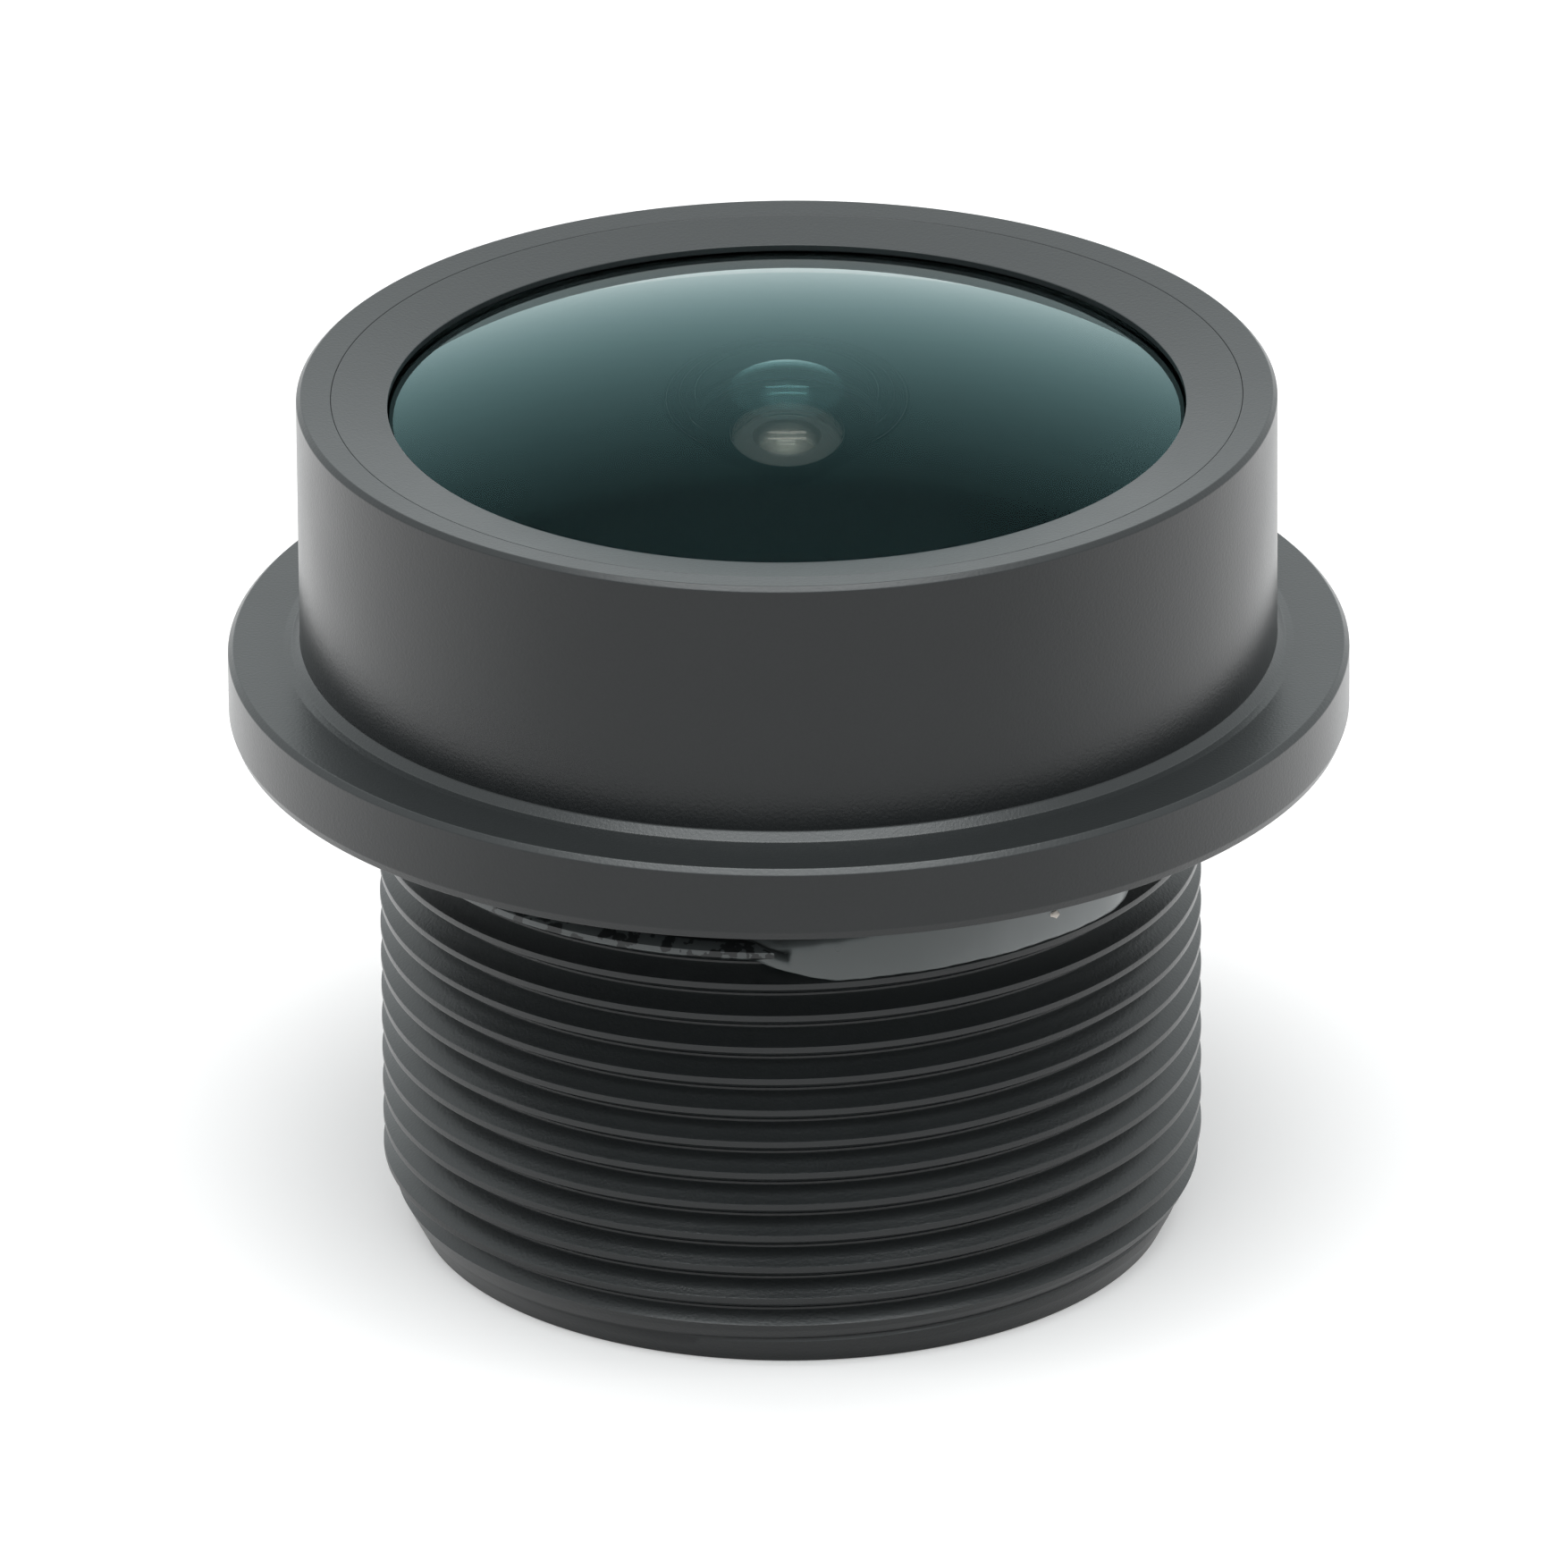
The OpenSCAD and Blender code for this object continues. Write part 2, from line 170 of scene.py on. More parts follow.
def revolve_tree():
    """Turns an outline around Z. Rows marked on_thread follow a helix and cut its groove."""
    tree = bpy.data.node_groups.new("turned_piece", "GeometryNodeTree")
    face = tree.interface
    face.new_socket("Geometry", in_out="INPUT", socket_type="NodeSocketGeometry")
    for name in ("Rows", "Sides"):
        face.new_socket(name, in_out="INPUT", socket_type="NodeSocketInt")
    for name in ("Crest radius", "Pitch", "Groove depth", "Groove mouth", "Edge round",
                 "First groove", "Thread length", "Lead length", "Lead drop"):
        face.new_socket(name, in_out="INPUT", socket_type="NodeSocketFloat")
    face.new_socket("Material", in_out="INPUT", socket_type="NodeSocketMaterial")
    face.new_socket("Geometry", in_out="OUTPUT", socket_type="NodeSocketGeometry")
    given = tree.nodes.new("NodeGroupInput")
    entry = {socket.name: Wire(tree, socket) for socket in given.outputs}
    wire = Wire(tree)

    # The grid has one column for each side and one row for each point of the outline.
    grid = wire.node("GeometryNodeMeshGrid", {},
                     {"Size X": 1.0, "Size Y": 1.0, "Vertices X": entry["Sides"] + 1, "Vertices Y": entry["Rows"]})
    index = wire.node("GeometryNodeInputIndex")
    turn = wire.math("FLOOR", (index + 0.5) / entry["Rows"])
    row = index - turn * entry["Rows"]
    turn = turn / entry["Sides"]

    sample = {"data_type": "FLOAT_VECTOR", "domain": "POINT", "clamp": True}
    outline = wire.node("GeometryNodeSampleIndex", sample,
                        {"Geometry": entry["Geometry"],
                         "Value": wire.node("GeometryNodeInputPosition"), "Index": row})
    across = wire.node("ShaderNodeSeparateXYZ", {}, {0: outline}, 0)
    height = wire.node("ShaderNodeSeparateXYZ", {}, {0: outline}, 2)
    marked = wire.node("GeometryNodeInputNamedAttribute", {"data_type": "FLOAT"}, {"Name": "on_thread"})
    threaded = wire.node("GeometryNodeSampleIndex",
                         {"data_type": "FLOAT", "domain": "POINT", "clamp": True},
                         {"Geometry": entry["Geometry"], "Value": marked, "Index": row})

    # Threaded rows climb one pitch in a turn, and stop at both ends of the thread.
    climbed = wire.math("MINIMUM", wire.math("MAXIMUM", height + entry["Pitch"] * turn, 0.0),
                        entry["Thread length"])
    phase = (climbed - entry["First groove"]) / entry["Pitch"] - turn
    off_centre = wire.math("ABSOLUTE", phase - wire.math("ROUND", phase)) * entry["Pitch"]
    cut = (entry["Groove mouth"] / 2.0 - off_centre) / math.tan(math.radians(30.0))
    cut = wire.math("SMOOTH_MAX", cut, 0.0, entry["Edge round"])
    cut = wire.math("SMOOTH_MIN", cut, entry["Groove depth"], entry["Edge round"])
    lead = wire.math("MINIMUM", climbed / entry["Lead length"], 1.0)
    cone = entry["Crest radius"] - entry["Lead drop"] * (1.0 - lead)
    helix_radius = wire.math("SMOOTH_MIN", entry["Crest radius"] - cut, cone, entry["Edge round"])

    radius = across + threaded * (helix_radius - across)
    level = height + threaded * (climbed - height)
    angle = turn * (2.0 * math.pi)
    place = wire.node("ShaderNodeCombineXYZ", {},
                      {0: radius * wire.math("SINE", angle),
                       1: 0.0 - radius * wire.math("COSINE", angle), 2: level})
    shaped = wire.node("GeometryNodeSetPosition", {}, {"Geometry": grid, "Position": place})
    joined = wire.node("GeometryNodeMergeByDistance", {}, {"Geometry": shaped, "Distance": 2e-7})
    real = wire.node("GeometryNodeRealizeInstances", {}, {"Geometry": joined})
    finished = wire.node("GeometryNodeSetMaterial", {}, {"Geometry": real, "Material": entry["Material"]})
    out = tree.nodes.new("NodeGroupOutput")
    tree.links.new(finished.socket, out.inputs[0])
    return tree


REVOLVE = revolve_tree()


def turned(name, outline, material, sides=ROUND_SIDES, thread=None, sharp=35.0):
    """A mesh turned from an outline of (radius, height) points in millimetres."""
    mesh = bpy.data.meshes.new(name)
    mesh.from_pydata([(p[0] * MM, 0.0, p[1] * MM) for p in outline], [], [])
    marks = mesh.attributes.new("on_thread", "FLOAT", "POINT")
    for i, point in enumerate(outline):
        marks.data[i].value = 1.0 if len(point) > 2 else 0.0
    source = bpy.data.objects.new(name + "_outline", mesh)
    bpy.context.scene.collection.objects.link(source)
    modifier = source.modifiers.new("turn", "NODES")
    modifier.node_group = REVOLVE
    values = {"Rows": len(outline), "Sides": sides, "Material": material, "Pitch": 0.001,
              "Lead length": 0.001, "Thread length": 1.0}
    values.update(thread or {})
    for item in REVOLVE.interface.items_tree:
        if item.item_type == "SOCKET" and item.in_out == "INPUT" and item.name in values:
            modifier[item.identifier] = values[item.name]
    source.update_tag()
    graph = bpy.context.evaluated_depsgraph_get()
    finished = bpy.data.meshes.new_from_object(source.evaluated_get(graph))
    finished.name = name
    bpy.data.objects.remove(source)
    piece = bpy.data.objects.new(name, finished)
    bpy.context.scene.collection.objects.link(piece)
    finished.materials.clear()
    finished.materials.append(material)
    for polygon in finished.polygons:
        polygon.material_index = 0
    finished.shade_smooth()
    finished.set_sharp_from_angle(angle=math.radians(sharp))
    return piece


def new_material(name):
    material = bpy.data.materials.new(name)
    material.use_nodes = True
    tree = material.node_tree
    tree.nodes.clear()
    return material, Wire(tree)


def output(wire, shader, name="ShaderNodeOutputMaterial"):
    out = wire.tree.nodes.new(name)
    wire.tree.links.new(shader.socket, out.inputs["Surface"])


def anodised_material(name, dark, light, glinting_burr=False):
    """Black anodised aluminium, finely blasted before it was dyed."""
    material, wire = new_material(name)
    place = wire.node("ShaderNodeTexCoord", output="Object")
    grain = wire.node("ShaderNodeTexNoise", {}, {"Vector": place, "Scale": 21000.0, "Detail": 3.0})
    cloud = wire.node("ShaderNodeTexNoise", {}, {"Vector": place, "Scale": 900.0, "Detail": 4.0})
    black = wire.node("ShaderNodeMix", {"data_type": "RGBA"},
                      {"Factor": grain * 0.6 + cloud * 0.4, "A": dark, "B": light}, 2)
    # Painted top light: faces that look upward are mixed towards a lighter grey.
    facing = wire.node("ShaderNodeSeparateXYZ", {}, {0: wire.node("ShaderNodeNewGeometry", output="Normal")}, 2)
    painted_light_black = wire.node("ShaderNodeMix", {"data_type": "RGBA"},
                      {"Factor": wire.node("ShaderNodeMapRange", {}, {"Value": facing, "From Min": 0.6}),
                       "A": black, "B": (0.02, 0.022, 0.0225, 1.0)}, 2)
    if glinting_burr:
        # Painted highlight: a ragged patch on the burred last crest in front, coloured lighter grey where light
        # glints off the burr.
        ragged = wire.node("ShaderNodeTexNoise", {}, {"Vector": place, "Scale": 4500.0, "Detail": 3.0})
        along = wire.node("ShaderNodeSeparateXYZ", {}, {0: place}, 0)
        height = wire.node("ShaderNodeSeparateXYZ", {}, {0: place}, 2)
        in_front = wire.math("LESS_THAN", wire.node("ShaderNodeSeparateXYZ", {}, {0: place}, 1), 0.0)
        span = wire.math("LESS_THAN", wire.math("ABSOLUTE", along + 0.0023), 0.0025)
        band = wire.math("LESS_THAN", wire.math("ABSOLUTE", height - 0.00668), 0.00012)
        burr_glint = in_front * span * band * wire.math("GREATER_THAN", ragged, 0.47)
        painted_light_black = wire.node("ShaderNodeMix", {"data_type": "RGBA"},
                          {"Factor": burr_glint, "A": painted_light_black, "B": (0.075, 0.083, 0.084, 1.0)}, 2)
    cell = wire.node("ShaderNodeTexVoronoi", {}, {"Vector": place, "Scale": 900.0})
    picked = wire.node("ShaderNodeTexVoronoi", {}, {"Vector": place, "Scale": 900.0}, 1)
    rare = wire.math("GREATER_THAN", wire.node("ShaderNodeSeparateXYZ", {}, {0: picked}, 0), 0.8)
    speck = rare * wire.math("LESS_THAN", cell, 0.03)
    color = wire.node("ShaderNodeMix", {"data_type": "RGBA"},
                      {"Factor": speck, "A": painted_light_black, "B": (0.35, 0.35, 0.33, 1.0)}, 2)
    bump = wire.node("ShaderNodeBump", {}, {"Strength": 0.4, "Distance": 0.000008, "Height": grain})
    shader = wire.node("ShaderNodeBsdfPrincipled", {},
                       {"Base Color": color, "Roughness": 0.26 + 0.06 * cloud + 0.05 * grain,
                        "IOR": 1.5, "Normal": bump})
    output(wire, shader)
    return material


# The barrel's black carries painted top light and a painted glint on the burred front crest.
ANODISED = anodised_material("anodised_black", (0.002, 0.003, 0.0035, 1.0), (0.008, 0.0095, 0.0105, 1.0),
                             glinting_burr=True)


def thread_rows():
    """Heights of the rows across each groove, from one pitch below the thread to its top."""
    mouth = (PITCH - CREST_FLAT) / 2
    root = mouth - GROOVE_DEPTH * math.tan(math.radians(30))
    half = [root * 0.6, root * 1.3, mouth * 0.92, mouth, mouth * 1.08]
    offsets = [-d for d in reversed(half)] + half
    turns = math.ceil((THREAD_L + PITCH) / PITCH) + 1
    heights = [FIRST_GROOVE_Z + (i - 2) * PITCH + d for i in range(turns + 2) for d in offsets]
    return [z for z in heights if -PITCH - 0.3 < z < THREAD_L + 0.3]


inner = rounded([(REAR_BORE_R, REAR_RING_Z + THREAD_RUN), (REAR_BORE_R, 0.0), (CREST_R - LEAD_DROP, 0.0)],
                closed=False)
upper = rounded([
    (CREST_R, THREAD_L), (RELIEF_R, THREAD_L), (RELIEF_R, FLANGE_Z),
    (FLANGE_R - FLANGE_LOW_EDGE[0], FLANGE_Z), (FLANGE_R, FLANGE_Z + FLANGE_LOW_EDGE[1]),
    (FLANGE_R, FLANGE_TOP_Z - FLANGE_TOP_CHAMFER), (FLANGE_R - FLANGE_TOP_CHAMFER, FLANGE_TOP_Z),
    (HEAD_R + HEAD_ROOT + ROOT_LAND_W, FLANGE_TOP_Z), (HEAD_R + HEAD_ROOT, FLANGE_TOP_Z + ROOT_LAND_H),
    (HEAD_R, FLANGE_TOP_Z + ROOT_LAND_H + HEAD_ROOT),
    (HEAD_R, RIM_Z - RIM_CHAMFER), (HEAD_R - RIM_CHAMFER, RIM_Z),
    (RING_BORE_R, RIM_Z - RIM_FALL), (RING_BORE_R, RING_Z - THREAD_RUN), (GLASS_BORE_R, RING_Z - THREAD_RUN),
    (GLASS_BORE_R, GLASS_SEAT_Z - SKIN), (WEB_R, GLASS_SEAT_Z - SKIN), (WEB_R, STACK_Z), (STACK_BORE_R, STACK_Z),
    (STACK_BORE_R, REAR_RING_Z + THREAD_RUN), (REAR_BORE_R, REAR_RING_Z + THREAD_RUN)], closed=False)[1:]
outline = list(inner) + [(CREST_R, z, 1) for z in thread_rows()] + list(upper)
barrel = turned("barrel_turned", outline, ANODISED, thread={
    "Crest radius": CREST_R * MM, "Pitch": PITCH * MM, "Groove depth": GROOVE_DEPTH * MM,
    "Groove mouth": (PITCH - CREST_FLAT) * MM, "Edge round": 0.03 * MM, "First groove": FIRST_GROOVE_Z * MM,
    "Thread length": THREAD_L * MM, "Lead length": LEAD_L * MM, "Lead drop": LEAD_DROP * MM})
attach(barrel, "root")
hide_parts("barrel")

# Front retaining ring. A turned and anodised ring screwed into the head. Its shallow cone
# leads down to the opening. It presses on the step of the front glass and reaches around it.

RING_BLACK = anodised_material("anodised_ring", (0.020, 0.022, 0.023, 1.0), (0.030, 0.033, 0.034, 1.0))
OPENING_R = 5.78
RING_R = 6.595
RING_SEAT_R = 6.0
RING_DISH = 0.18
LIP_T = 0.1
cone_z = RIM_Z - RING_DISH
front_ring = turned("front_retaining_ring_turned", rounded([
    (RING_SEAT_R, GLASS_STEP_Z), (GLASS_BORE_R, GLASS_STEP_Z), (GLASS_BORE_R, RING_Z), (RING_R, RING_Z),
    (RING_R, RIM_Z - RIM_FALL), (OPENING_R, cone_z), (OPENING_R, cone_z - LIP_T), (RING_SEAT_R, cone_z - LIP_T)]), RING_BLACK)
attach(front_ring, "root")
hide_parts("front_retaining_ring")

# Adhesive under the flange. A glossy dark dab that was run into the relief groove and the
# last thread groove beside it, and cured there with a smooth skin.

DAB_START = -7.5
DAB_END = 58.0
DAB_LOW = 6.25
DAB_SKIN_R = 6.016


def adhesive_material():
    material, wire = new_material("black_adhesive")
    place = wire.node("ShaderNodeTexCoord", output="Object")
    ripple = wire.node("ShaderNodeTexNoise", {}, {"Vector": place, "Scale": 1300.0, "Detail": 2.0})
    # The dab's colour grows lighter towards its right end.
    across = wire.node("ShaderNodeSeparateXYZ", {}, {0: place}, 0)
    rightward = wire.node("ShaderNodeMapRange", {"interpolation_type": "SMOOTHSTEP"},
                     {"Value": across + ripple * 0.0012, "From Min": 0.002, "From Max": 0.0055})
    color = wire.node("ShaderNodeMix", {"data_type": "RGBA"},
                      {"Factor": rightward, "A": (0.085, 0.094, 0.094, 1.0), "B": (0.20, 0.212, 0.214, 1.0)}, 2)
    bump = wire.node("ShaderNodeBump", {}, {"Strength": 0.3, "Distance": 0.00001, "Height": ripple})
    shader = wire.node("ShaderNodeBsdfPrincipled", {},
                       {"Base Color": color, "Roughness": 0.24 + 0.1 * ripple, "IOR": 1.5, "Normal": bump})
    output(wire, shader)
    return material


def eased(value, low, high):
    """0 below low, 1 above high, and a smooth step between them."""
    t = min(max((value - low) / (high - low), 0.0), 1.0)
    return t * t * (3.0 - 2.0 * t)


def dab_section(angle):
    """The dab's closed section at one angle, in degrees to the right of the front."""
    climb = PITCH * angle / 360.0
    wave = 0.012 * math.sin(angle * 0.55) + 0.007 * math.sin(angle * 1.7)
    low = DAB_LOW + climb + 0.30 * (1.0 - eased(angle, -7.0, 7.0)) + wave * 0.4
    high = 6.90 + 0.20 * eased(angle, -2.0, 16.0) + wave
    body = math.sqrt(max(0.0, 1.0 - max(0.0, (angle - 48.0) / 10.0) ** 2))
    low += 0.22 * (1.0 - body)
    body *= eased(angle, -8.0, -2.0)
    film = 0.02 * (1.0 - eased(angle, -3.0, 1.5))
    shape = [(5.66, low + 0.02), (5.93, low - 0.005), (DAB_SKIN_R - 0.012, low + 0.015), (DAB_SKIN_R, low + 0.06),
             (DAB_SKIN_R, low + 0.30), (DAB_SKIN_R - 0.006, high - 0.20), (5.985, high - 0.11), (5.93, high - 0.05),
             (5.82, high), (5.55, high + 0.03)]
    return [(5.55 + (r - film - 5.55) * (0.35 + 0.65 * body), z) for r, z in shape]


dab_mesh = bpy.data.meshes.new("flange_adhesive_dab")
dab_shape = bmesh.new()
rows = []
for step in range(237):
    angle = DAB_START + (DAB_END - DAB_START) * step / 236
    turn = math.radians(angle)
    rows.append([dab_shape.verts.new((r * MM * math.sin(turn), -r * MM * math.cos(turn), z * MM))
                 for r, z in dab_section(angle)])
for first, second in zip(rows, rows[1:]):
    for k in range(len(first)):
        dab_shape.faces.new((first[k], second[k], second[k - 1], first[k - 1]))
dab_shape.faces.new(rows[0])
dab_shape.faces.new(list(reversed(rows[-1])))
bmesh.ops.recalc_face_normals(dab_shape, faces=dab_shape.faces)
dab_shape.to_mesh(dab_mesh)
dab_shape.free()
dab_mesh.materials.append(adhesive_material())
dab_mesh.shade_smooth()
dab = bpy.data.objects.new("flange_adhesive_dab", dab_mesh)
bpy.context.scene.collection.objects.link(dab)
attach(dab, "root")
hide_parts("flange_adhesive")

# Chip in the adhesive. A crumb of pale dust that stuck to the dab while it was soft.

CHIP_ANGLE = math.radians(39.0)
chip_mesh = bpy.data.meshes.new("chip")
chip_shape = bmesh.new()
bmesh.ops.create_icosphere(chip_shape, subdivisions=2, radius=0.055 * MM)
for vertex in chip_shape.verts:
    vertex.co.x *= 1.5
    vertex.co.z *= 1.0 + 0.35 * math.sin(vertex.co.x / MM * 60.0)
    vertex.co += Vector((6.02 * math.sin(CHIP_ANGLE), -6.02 * math.cos(CHIP_ANGLE), 6.70)) * MM
chip_shape.to_mesh(chip_mesh)
chip_shape.free()


def chip_material():
    material, wire = new_material("pale_dust")
    place = wire.node("ShaderNodeTexCoord", output="Object")
    grain = wire.node("ShaderNodeTexNoise", {}, {"Vector": place, "Scale": 15000.0, "Detail": 2.0})
    color = wire.node("ShaderNodeMix", {"data_type": "RGBA"},
                      {"Factor": grain, "A": (0.5, 0.42, 0.36, 1.0), "B": (0.85, 0.8, 0.74, 1.0)}, 2)
    output(wire, wire.node("ShaderNodeBsdfPrincipled", {}, {"Base Color": color, "Roughness": 0.6 + 0.3 * grain}))
    return material


chip_mesh.materials.append(chip_material())
chip = bpy.data.objects.new("chip", chip_mesh)
bpy.context.scene.collection.objects.link(chip)
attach(chip, "root")

# Front element. A negative meniscus of polished glass with a teal anti-reflection coating.
# Its edge and rear rim are blackened with ink, and a rubber ring seals it in the head.

DOME_R = 5.95
DOME_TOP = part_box("front_element")[1].z / MM
GLASS_R = 6.3
HOLLOW_R = 2.0
HOLLOW_H = 1.9
SEAL_W = 0.58
REBATE_R = 5.75


def cap(edge_r, edge_z, height, steps=40):
    """Points of a spherical face from its axis out to its edge. A negative height hollows it."""
    curve = (edge_r ** 2 + height ** 2) / (2 * abs(height))
    side = 1 if height > 0 else -1
    points = []
    for i in range(steps + 1):
        r = edge_r * i / steps
        points.append((r, edge_z + height - side * (curve - math.sqrt(curve ** 2 - r ** 2))))
    return points


def glass_material(name, index, gain, cut, least, near, far):
    """Clear glass whose coating lowers its mirror image and tints it, most where it is seen squarely."""
    material, wire = new_material(name)
    place = wire.node("ShaderNodeTexCoord", output="Object")
    haze = wire.node("ShaderNodeTexNoise", {}, {"Vector": place, "Scale": 700.0, "Detail": 5.0})
    bare = wire.node("ShaderNodeFresnel", {}, {"IOR": index})
    mirrored = wire.math("MAXIMUM", (bare - cut) * gain, least)
    color = wire.node("ShaderNodeMix", {"data_type": "RGBA"},
                      {"Factor": wire.math("MINIMUM", bare * 2.0, 1.0), "A": near, "B": far}, 2)
    mirror = wire.node("ShaderNodeBsdfPrincipled", {},
                       {"Base Color": color, "Metallic": 1.0, "Roughness": 0.003 + 0.006 * haze})
    clear = wire.node("ShaderNodeBsdfRefraction", {}, {"Color": (0.97, 1.0, 0.995, 1.0), "Roughness": 0.0, "IOR": index})
    shader = wire.node("ShaderNodeMixShader", {}, {0: mirrored, 1: clear, 2: mirror})
    output(wire, shader)
    return material


def ink_material():
    material, wire = new_material("black_ink")
    place = wire.node("ShaderNodeTexCoord", output="Object")
    brushed = wire.node("ShaderNodeTexNoise", {}, {"Vector": place, "Scale": 2500.0, "Detail": 3.0})
    color = wire.node("ShaderNodeMix", {"data_type": "RGBA"},
                      {"Factor": brushed, "A": (0.002, 0.003, 0.003, 1.0), "B": (0.0045, 0.0065, 0.0065, 1.0)}, 2)
    shader = wire.node("ShaderNodeBsdfPrincipled", {},
                       {"Base Color": color, "Roughness": 0.6 + 0.2 * brushed, "IOR": 1.0})
    output(wire, shader)
    return material


FRONT_GLASS = glass_material("coated_front_glass", 1.6, 1.35, 0.07, 0.013, (0.42, 0.95, 0.98, 1.0),
                             (0.85, 1.0, 0.99, 1.0))
INK = ink_material()

hollow = cap(HOLLOW_R, GLASS_SEAT_Z, HOLLOW_H)
dome = cap(DOME_R, GLASS_STEP_Z, DOME_TOP - GLASS_STEP_Z)
body = rounded([hollow[-1], (REBATE_R, GLASS_SEAT_Z), (REBATE_R, GLASS_SEAT_Z + SEAL_W),
                (GLASS_R, GLASS_SEAT_Z + SEAL_W), (GLASS_R, GLASS_STEP_Z), dome[-1]], closed=False)
front_glass = turned("front_element_glass", hollow[:-1] + list(body) + list(reversed(dome[:-1])), FRONT_GLASS)
front_glass.data.materials.append(INK)
for face in front_glass.data.polygons:
    out = math.hypot(face.center.x, face.center.y) / MM
    low = face.center.z / MM < GLASS_STEP_Z - EDGE
    if out > HOLLOW_R and low:
        face.material_index = 1
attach(front_glass, "root")
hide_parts("front_element")


def dress(node, material):
    """Gives a CAD node that keeps its own shape a finished material."""
    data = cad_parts[node].data
    data.materials.clear()
    data.materials.append(material)


def rubber_material():
    material, wire = new_material("seal_rubber")
    place = wire.node("ShaderNodeTexCoord", output="Object")
    skin = wire.node("ShaderNodeTexNoise", {}, {"Vector": place, "Scale": 9000.0, "Detail": 2.0})
    bump = wire.node("ShaderNodeBump", {}, {"Strength": 0.3, "Distance": 0.000005, "Height": skin})
    shader = wire.node("ShaderNodeBsdfPrincipled", {},
                       {"Base Color": (0.02, 0.02, 0.021, 1.0), "Roughness": 0.5 + 0.2 * skin, "Normal": bump})
    output(wire, shader)
    return material


dress("front_seal_ring", rubber_material())

# Inner elements. Five more coated glasses drop into the tube behind the web. The fourth
# and fifth are cemented together, and each rim is blackened.


def box_mm(node):
    low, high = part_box(node)
    return low.z / MM, high.z / MM, high.x / MM


INNER_GLASS = glass_material("coated_inner_glass", 1.65, 1.1, 0.055, 0.02, (1.0, 0.84, 0.74, 1.0),
                             (1.0, 0.95, 0.92, 1.0))


def element(node, front_a, front_h, rear_a, rear_h):
    """An inner glass: each face stands out where its height is positive and in where negative."""
    low, high, rim = box_mm(node)
    low += SKIN
    high -= SKIN
    top = high - max(front_h, 0)
    base = low + max(rear_h, 0)
    rear = cap(rear_a, base, -rear_h)
    front = cap(front_a, top, front_h)
    edge = rounded([rear[-1], (rim, base), (rim, top), front[-1]], closed=False)
    piece = turned(node + "_glass", rear[:-1] + list(edge) + list(reversed(front[:-1])), INNER_GLASS, sides=160)
    piece.data.materials.append(INK)
    for face in piece.data.polygons:
        if math.hypot(face.center.x, face.center.y) / MM > max(front_a, rear_a):
            face.material_index = 1
    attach(piece, "root")
    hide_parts(node)


element("second_element", 2.25, 0.7, 1.12, -0.35)
element("third_element", 2.8, 0.5, 2.4, 0.21)
element("fourth_element", 2.2, 0.35, 3.0, 0.73)
element("fifth_element", 3.0, -0.74, 3.0, -0.3)
element("sixth_element", 3.1, 0.62, 3.2, 0.77)

# Spacers, light shields and aperture stop. Turned rings and thin film discs, all matt black,
# keep the glasses apart and cut stray light. The stop's small hole sets the f-number.


def matt_material(name, dark, light):
    material, wire = new_material(name)
    place = wire.node("ShaderNodeTexCoord", output="Object")
    grain = wire.node("ShaderNodeTexNoise", {}, {"Vector": place, "Scale": 16000.0, "Detail": 3.0})
    color = wire.node("ShaderNodeMix", {"data_type": "RGBA"}, {"Factor": grain, "A": dark, "B": light}, 2)
    bump = wire.node("ShaderNodeBump", {}, {"Strength": 0.3, "Distance": 0.000004, "Height": grain})
    shader = wire.node("ShaderNodeBsdfPrincipled", {},
                       {"Base Color": color, "Roughness": 0.6 + 0.2 * grain, "Normal": bump})
    output(wire, shader)
    return material


SPACER = matt_material("matt_black_spacer", (0.006, 0.006, 0.0065, 1.0), (0.016, 0.016, 0.017, 1.0))
FILM = matt_material("matt_black_film", (0.004, 0.004, 0.004, 1.0), (0.01, 0.01, 0.01, 1.0))
for node in ("front_spacer", "stop_front_spacer", "stop_rear_spacer", "rear_spacer"):
    dress(node, SPACER)
for node in ("front_light_shield", "aperture_stop", "rear_light_shield"):
    dress(node, FILM)

# Rear end. A slotted ring, screwed in from behind, clamps the stack. The infrared filter
# lies on it, held by a clear fillet of adhesive around its edge.

RING_LOW, RING_HIGH, REAR_RING_R = box_mm("rear_retaining_ring")
dress("rear_retaining_ring", ANODISED)
FILTER = glass_material("filter_coated_glass", 1.52, 1.0, 0.0, 0.08, (1.0, 0.45, 0.5, 1.0), (1.0, 0.8, 0.8, 1.0))
dress("infrared_filter", FILTER)


def clear_adhesive_material():
    material, wire = new_material("clear_adhesive")
    place = wire.node("ShaderNodeTexCoord", output="Object")
    cloud = wire.node("ShaderNodeTexNoise", {}, {"Vector": place, "Scale": 2000.0, "Detail": 2.0})
    color = wire.node("ShaderNodeMix", {"data_type": "RGBA"},
                      {"Factor": cloud, "A": (0.45, 0.43, 0.36, 1.0), "B": (0.6, 0.58, 0.5, 1.0)}, 2)
    shader = wire.node("ShaderNodeBsdfPrincipled", {},
                       {"Base Color": color, "Roughness": 0.15 + 0.1 * cloud, "IOR": 1.5,
                        "Transmission Weight": 0.7})
    output(wire, shader)
    return material


dress("filter_adhesive", clear_adhesive_material())

# Stage. A pale floor under a large soft overhead light in a white surround, and the camera
# of the photograph: a long lens, 24 degrees above the horizon, rolled by half a degree.

ELEVATION = math.radians(24.34)
ROLL = math.radians(0.458)
DISTANCE = 342.9 * MM
TARGET = Vector((0.0, 0.0, 6.5 * MM))
FRAME_PX = 1754
FOCAL_PX = 26320
TARGET_PX = (883.5, 889.0)

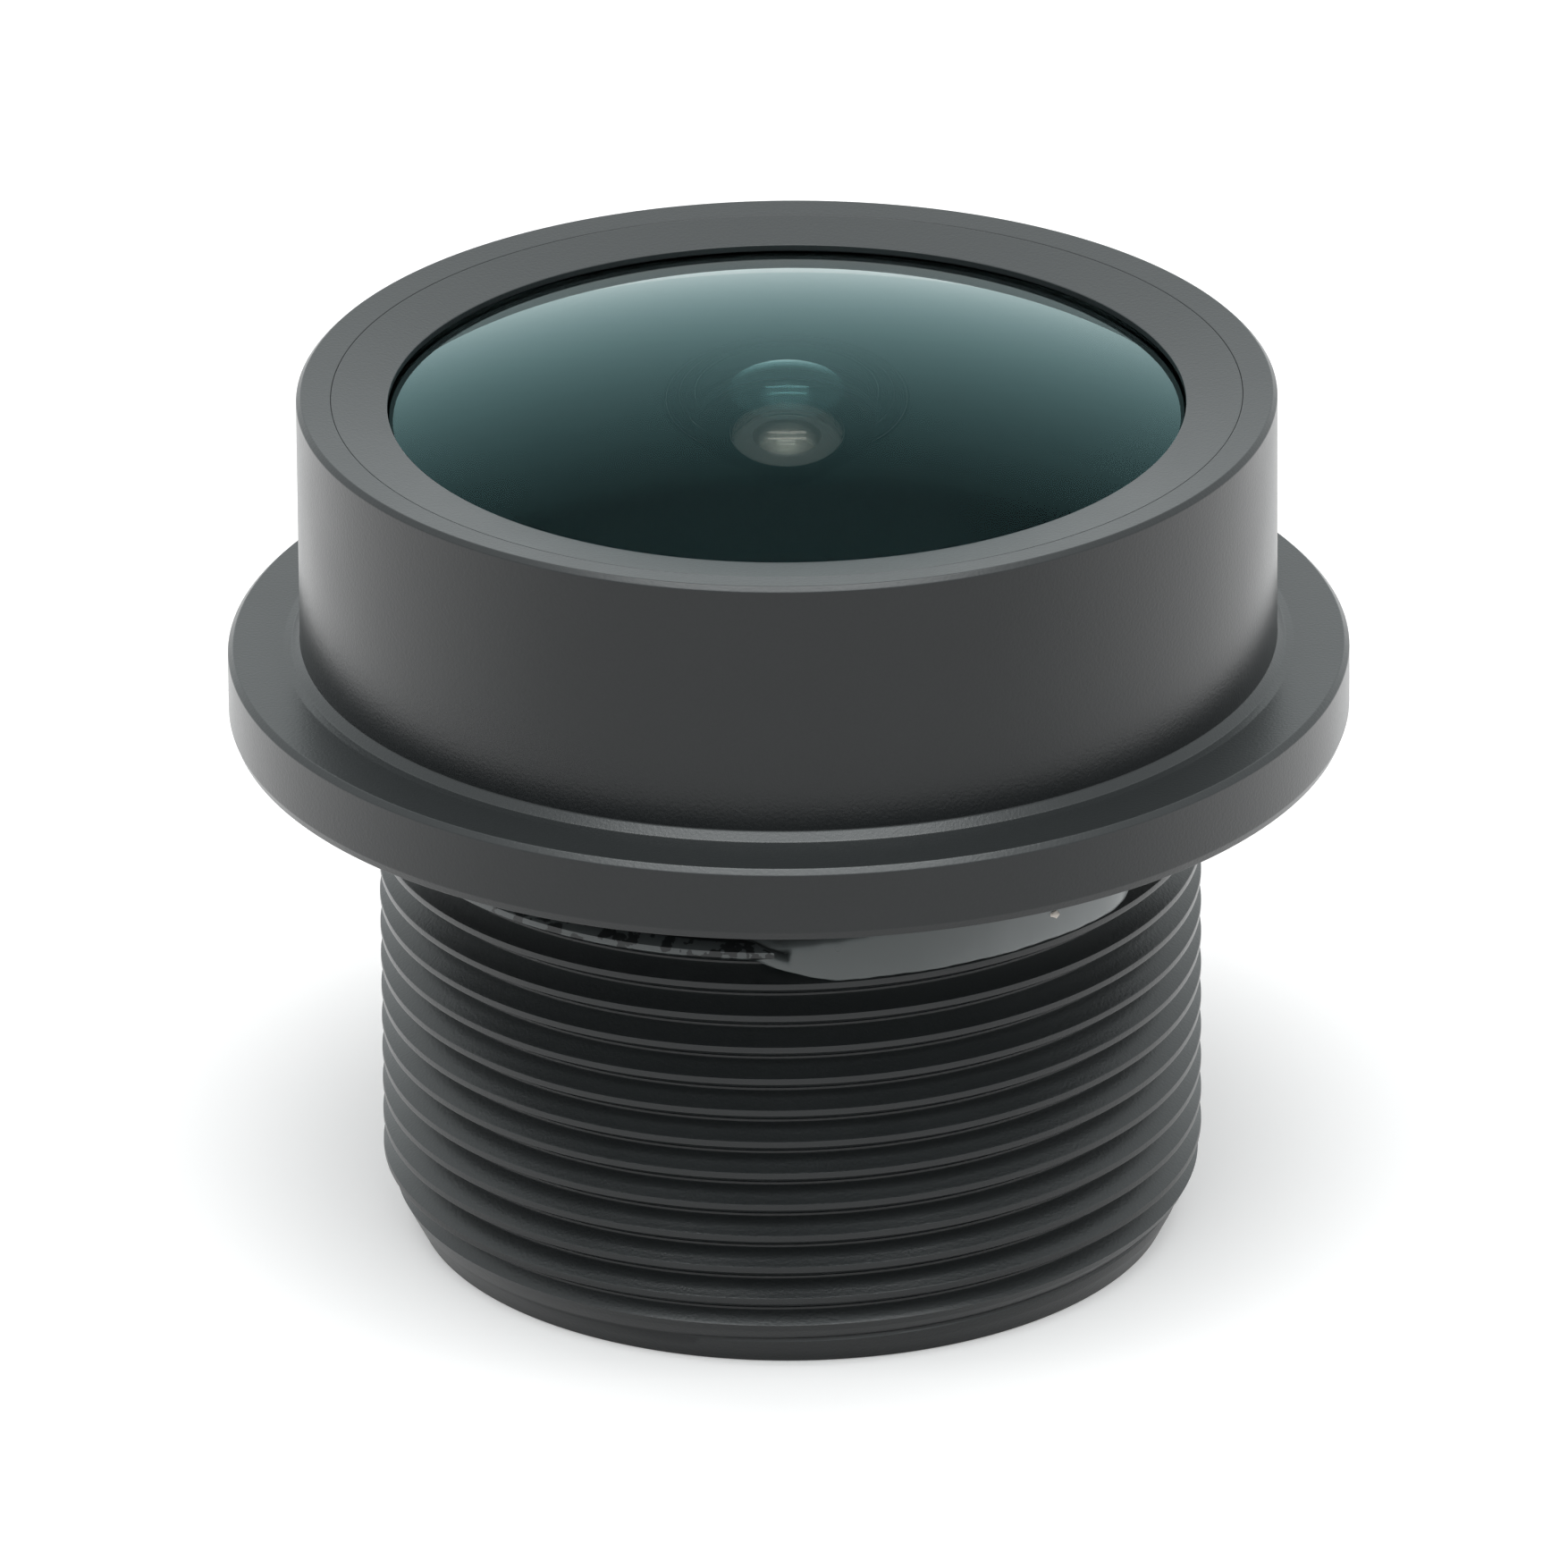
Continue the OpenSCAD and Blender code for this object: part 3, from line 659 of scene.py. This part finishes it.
away = Vector((0.0, -math.cos(ELEVATION), math.sin(ELEVATION)))
level_up = Vector((0.0, math.sin(ELEVATION), math.cos(ELEVATION)))
level_right = Vector((1.0, 0.0, 0.0))
right = level_right * math.cos(ROLL) - level_up * math.sin(ROLL)
up = level_right * math.sin(ROLL) + level_up * math.cos(ROLL)
per_px = DISTANCE / FOCAL_PX
centre = TARGET - right * (TARGET_PX[0] - FRAME_PX / 2) * per_px + up * (TARGET_PX[1] - FRAME_PX / 2) * per_px
camera_data = bpy.data.cameras.new("camera")
camera_data.sensor_width = 36.0
camera_data.lens = 36.0 * FOCAL_PX / FRAME_PX
camera_data.clip_start = 0.02
camera_data.clip_end = 20.0
camera = bpy.data.objects.new("camera", camera_data)
camera.matrix_world = Matrix.Translation(centre + away * DISTANCE) @ Matrix((
    (right.x, up.x, away.x, 0.0), (right.y, up.y, away.y, 0.0), (right.z, up.z, away.z, 0.0), (0.0, 0.0, 0.0, 1.0)))
bpy.context.scene.collection.objects.link(camera)
bpy.context.scene.camera = camera


def floor_material():
    material, wire = new_material("floor")
    seen = wire.math("MAXIMUM", wire.math("MAXIMUM", wire.node("ShaderNodeLightPath", output="Is Camera Ray"),
                                          wire.node("ShaderNodeLightPath", output="Is Glossy Ray")),
                     wire.node("ShaderNodeLightPath", output="Is Transmission Ray"))
    # Painted light and shade for mirror rays: the floor glows dim grey just in front of the object and full white
    # behind it and at its sides.
    place = wire.node("ShaderNodeTexCoord", output="Object")
    side = wire.math("ABSOLUTE", wire.node("ShaderNodeSeparateXYZ", {}, {0: place}, 0))
    behind = wire.node("ShaderNodeSeparateXYZ", {}, {0: place}, 1) + side * 0.8
    painted_pool = wire.node("ShaderNodeMapRange", {"interpolation_type": "SMOOTHSTEP"},
                     {"Value": behind, "From Min": -0.006, "From Max": 0.026})
    mirrored = wire.node("ShaderNodeMix", {"data_type": "RGBA"},
                         {"Factor": painted_pool, "A": (0.15, 0.15, 0.15, 1.0), "B": (1.0, 1.0, 1.0, 1.0)}, 2)
    lit = wire.node("ShaderNodeMix", {"data_type": "RGBA"},
                    {"Factor": wire.node("ShaderNodeLightPath", output="Is Glossy Ray"),
                     "A": (0.5, 0.5, 0.5, 1.0), "B": mirrored}, 2)
    shader = wire.node("ShaderNodeBsdfPrincipled", {},
                       {"Base Color": (0.8, 0.775, 0.77, 1.0), "Roughness": 0.9, "Specular IOR Level": 0.0,
                        "Emission Color": lit, "Emission Strength": seen * 0.6})
    output(wire, shader)
    return material


mesh = bpy.data.meshes.new("floor")
shape = bmesh.new()
bmesh.ops.create_circle(shape, cap_ends=True, segments=64, radius=0.6)
shape.to_mesh(mesh)
shape.free()
floor = bpy.data.objects.new("floor", mesh)
mesh.materials.append(floor_material())
bpy.context.scene.collection.objects.link(floor)
floor.location.z = -0.02 * MM

SOFT_LIGHT = (0.0, -math.cos(math.radians(66)), math.sin(math.radians(66)))
world = bpy.data.worlds.new("surround")
world.use_nodes = True
world.node_tree.nodes.clear()
wire = Wire(world.node_tree)
seen = wire.math("MAXIMUM", wire.math("MAXIMUM", wire.node("ShaderNodeLightPath", output="Is Camera Ray"),
                                      wire.node("ShaderNodeLightPath", output="Is Glossy Ray")),
                 wire.node("ShaderNodeLightPath", output="Is Transmission Ray"))
shiny = wire.node("ShaderNodeLightPath", output="Is Glossy Ray")
heading = wire.node("ShaderNodeVectorMath", {"operation": "DOT_PRODUCT"},
                    {0: wire.node("ShaderNodeTexCoord", output="Generated"), 1: SOFT_LIGHT}, 1)
glow = wire.node("ShaderNodeMapRange", {"interpolation_type": "SMOOTHSTEP"},
                 {"Value": heading, "From Min": 0.80, "From Max": 0.97, "To Min": 0.0, "To Max": 2.6})
tint = wire.node("ShaderNodeMix", {"data_type": "RGBA"},
                 {"Factor": wire.node("ShaderNodeLightPath", output="Is Camera Ray"),
                  "A": (0.94, 1.0, 1.01, 1.0), "B": (1.0, 1.0, 1.0, 1.0)}, 2)
background = wire.node("ShaderNodeBackground", {},
                       {"Color": tint, "Strength": 0.5 + seen * 0.5 + shiny * 0.2 + glow})
output(wire, background, "ShaderNodeOutputWorld")
bpy.context.scene.world = world

for name, forward in (("strip_back", -0.02), ("strip_front", -0.10)):
    lamp_data = bpy.data.lights.new(name, "AREA")
    lamp_data.shape = "RECTANGLE"
    lamp_data.size = 0.3
    lamp_data.size_y = 0.03
    lamp_data.energy = 0.2
    lamp = bpy.data.objects.new(name, lamp_data)
    lamp.location = (0.0, forward, 0.33)
    bpy.context.scene.collection.objects.link(lamp)

bpy.context.scene.view_settings.view_transform = "Standard"
